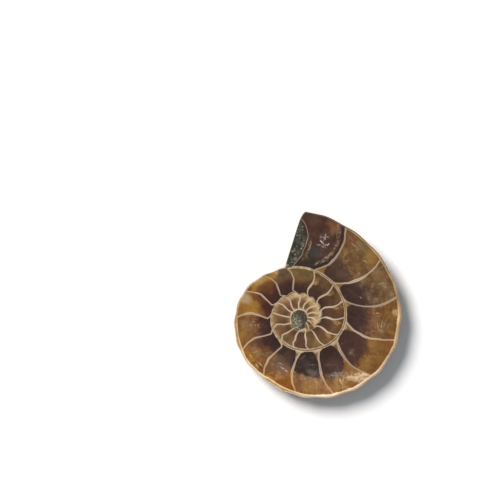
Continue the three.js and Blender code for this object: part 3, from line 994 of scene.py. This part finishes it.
# Cream line at the rim, broken up a little, with golden shell outside it where it lies in from the edge.
def rimLine(cut, colour):
    edge = cut.rimWidth * (0.25 + cut.mottle * 0.5)
    fromRim = cut.outside - cut.rimInset
    onRim = fromRim.rise(edge + 0.1, edge - 0.05) * (1.0 - cut.second)
    rimColour = (cut.rimBright * 0.8 + (cut.patchy - 0.5) * 0.6).ramp(
        {0.0: "4a3524", 0.4: "a58a68", 0.7: "d6b486", 1.0: "f6e1c6"}
    )
    golden = cut.mottle.rise(0.35, 0.65).blend("9a7240", "bd9058")
    return onRim.blend(colour, fromRim.rise(0.0, -0.12).blend(rimColour, golden))


# Stone fills the mouth beyond the last septum and the centre of the coil, beside one brown chamber.
def stoneFilling(cut, colour):
    mouth = cut.number.rise(-0.02, -0.05) * (1.0 - cut.second) * (1.0 - cut.septum)
    colour = mouth.blend(colour, stoneColour(cut.place))
    centre = cut.fromPole.vector("ADD", (0.25, 0.2, 0.0)).vector("MULTIPLY", (1.08, 0.89, 0.0))
    toCentre = centre.length() + (cut.mottle - 0.5) * 0.25
    colour = (toCentre.rise(2.15, 1.95) * 0.15).blend(colour, "b0936c")
    room = cut.place.patch(*spots["firstRoom"])
    roomColour = cut.mottle.rise(0.3, 0.7).blend("5c4223", "806036")
    colour = (room.rise(0.28, 0.4) * (1.0 - cut.septum * 0.7)).blend(colour, roomColour)
    lit = cut.stirred.patch(*spots["litStone"]).rise(0.0, 0.8)
    heart = (lit * 0.55 + (cut.fine - 0.5) * 2.4).rise(0.0, 1.0).blend("38342c", "7c7560")
    veins = cut.branches.bump(0.5, 0.06) * cut.fine.rise(0.4, 0.6) * (lit * 0.6 + 0.25)
    heart = veins.blend(heart, "b3ac96")
    return (toCentre.rise(1.98, 1.88) * (1.0 - room.rise(0.3, 0.36))).blend(colour, heart)


# The polished cut: the filling first, then all that is drawn over it, in order.
def cutFaceMaterial():
    material, shader, start, place = newMaterial("cut_face")
    cut = cutPlaces(start, place)
    colour = chamberFilling(cut)
    inFilling = (wispsAndSpecks, creamCloud, crystalGlintsAndCracks, lastChamberBands, paleFeet, tanPatches)
    overFilling = (wallBands, septumLines, wallLines, rimLine, stoneFilling)
    for marking in inFilling + overFilling:
        colour = marking(cut, colour)
    plug(shader, {"Base Color": colour, "Roughness": 0.25, "Specular IOR Level": 0.35})
    return material


# Shell: near the cut a tint that changes round the turn, painted brighter as painted light on the lower
# side turned from the sun, mottled brown below, with growth lines, paler rib crests and darker furrows as
# painted light and shade, and stone in the umbilicus.
# From 0.38 to 0.6 round the turn the shell faces away from the sun; those tints are painted bright, painted
# light over its golden tone.
shellTintsAndPaintedLight = {
    0.0: "6f5a3c", 0.15: "80643f", 0.24: "b08450", 0.38: "e2b074", 0.46: "efbd80", 0.6: "ecb97a",
    0.71: "c29c67", 0.82: "987a50", 0.89: "664c2c", 0.94: "3d2f20",
}
turnStart = 256.0  # degrees from the start of the last turn to the frame's +X


def shellMaterial():
    material, shader, start, place = newMaterial("shell_flank")
    shell = attribute(start, "shell", "Vector")
    crest, growth, hollow = (shell.part(axis) for axis in "XYZ")
    level = place.part("Z")
    broad = place.noise(0.28, 3.0, 0.55)
    mottle = place.noise(1.1, 4.0, 0.6)
    lineInputs = {"W": growth, "Scale": 9.0, "Detail": 3.0, "Roughness": 0.7}
    lines = growth.make("ShaderNodeTexNoise", {"noise_dimensions": "1D"}, lineInputs)
    turnShare = (growth * rib["spacing"] + turnStart) / 360.0
    colour = broad.rise(0.35, 0.68).blend("7e532a", "c39c68")
    colour = level.rise(2.2, 3.8).blend(colour, turnShare.ramp(shellTintsAndPaintedLight))
    colour = (mottle.rise(0.52, 0.74) * 0.5).blend(colour, colour.brighten(1.35))
    lineShare = level.rise(4.6, 2.6).pick(0.12, 0.4)
    colour = (lines.rise(0.5, 0.7) * lineShare).blend(colour, colour.brighten(0.5))
    # Painted light and shade: paler on the rib crests, darker in the furrows between the ribs.
    colour = colour.brighten(0.78 + crest * 0.34)
    # Painted highlight: cream along the top of the shell's edge on the side turned from the sun.
    pale = turnShare.rise(0.25, 0.42) * turnShare.rise(0.8, 0.62) * level.rise(5.0, 5.6)
    colour = (pale * mottle.rise(0.3, 0.6) * 0.4).blend(colour, "fae0b4")
    colour = (hollow * mottle.rise(0.3, 0.55)).blend(colour, stoneColour(place))
    relief = {"Strength": 0.25, "Distance": 0.2 * mm, "Height": lines + mottle * 0.6}
    plug(shader, {
        "Base Color": colour,
        "Normal": start.make("ShaderNodeBump", None, relief),
        "Roughness": 0.38,
        "Coat Weight": 0.25,
        "Coat Roughness": 0.15,
        "Subsurface Weight": 0.5,
        "Subsurface Radius": (1.0, 0.5, 0.25),
        "Subsurface Scale": 1.2 * mm,
    })
    return material


# The same stone where the end broke, rough with grains.
def endStoneMaterial():
    material, shader, start, place = newMaterial("end_stone")
    relief = {"Strength": 0.6, "Distance": 0.3 * mm, "Height": place.noise(2.6, 4.0, 0.65)}
    bump = start.make("ShaderNodeBump", None, relief)
    plug(shader, {"Base Color": stoneColour(place), "Normal": bump, "Roughness": 0.7})
    return material


for material in (cutFaceMaterial(), shellMaterial(), endStoneMaterial()):
    mesh.materials.append(material)
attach(ammonite, "root")
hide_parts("ammonite")
print("stage: materials made")

# A plain white floor, a soft sun from the upper left and even light all round.
studio = {
    "floorHalf": 2.0,  # metres
    "floorColour": (0.9, 0.9, 0.9, 1.0),
    "skyColour": (0.82, 0.97, 1.08, 1.0),
    "skyStrength": 0.3,
    "sunEnergy": 3.74,
    "sunColour": (1.06, 1.01, 0.974),
    "sunSpread": 25.0,  # degrees, as are the next two
    "sunElevation": 47.8,
    "sunFrom": 135.0,
    "cameraHeight": 0.6,  # metres
    "sensor": 36.0,  # millimetres
}
floorMesh = bpy.data.meshes.new("floor")
floorCorners = studio["floorHalf"] * np.array([(-1, -1, 0), (1, -1, 0), (1, 1, 0), (-1, 1, 0)])
floorMesh.from_pydata(floorCorners.tolist(), [], [(0, 1, 2, 3)])
floor = bpy.data.objects.new("floor", floorMesh)
bpy.context.collection.objects.link(floor)
floorMaterial = bpy.data.materials.new("floor_white")
floorMaterial.use_nodes = True
floorShader = floorMaterial.node_tree.nodes["Principled BSDF"]
plug(floorShader, {"Base Color": studio["floorColour"], "Roughness": 0.9, "Specular IOR Level": 0.1})
floorMesh.materials.append(floorMaterial)

world = bpy.data.worlds.new("studio")
bpy.context.scene.world = world
world.use_nodes = True
sky = world.node_tree.nodes["Background"]
plug(sky, {"Color": studio["skyColour"], "Strength": studio["skyStrength"]})

sunData = bpy.data.lights.new("key", "SUN")
sunData.energy = studio["sunEnergy"]
sunData.color = studio["sunColour"]
sunData.angle = math.radians(studio["sunSpread"])
sun = bpy.data.objects.new("key", sunData)
bpy.context.collection.objects.link(sun)
sunTurn = (90.0 - studio["sunElevation"], 0.0, studio["sunFrom"] + 90.0)
sun.rotation_euler = tuple(math.radians(degrees) for degrees in sunTurn)

# Straight down on the cut face, with the pole of the coil where the photograph has it.
cameraData = bpy.data.cameras.new("camera")
cameraData.sensor_width = studio["sensor"]
faceDistance = studio["cameraHeight"] - coil["thickness"] * mm
cameraData.lens = studio["sensor"] * faceDistance / (framePixels * photoStep * mm)
camera = bpy.data.objects.new("camera", cameraData)
camera.location = (
    (pole[0] - (polePixel[0] - framePixels / 2) * photoStep) * mm,
    (pole[1] + (polePixel[1] - framePixels / 2) * photoStep) * mm,
    studio["cameraHeight"],
)
bpy.context.collection.objects.link(camera)
bpy.context.scene.camera = camera
bpy.context.scene.view_settings.view_transform = "Standard"
bpy.context.scene.view_settings.look = "None"
print("stage: light and camera set")
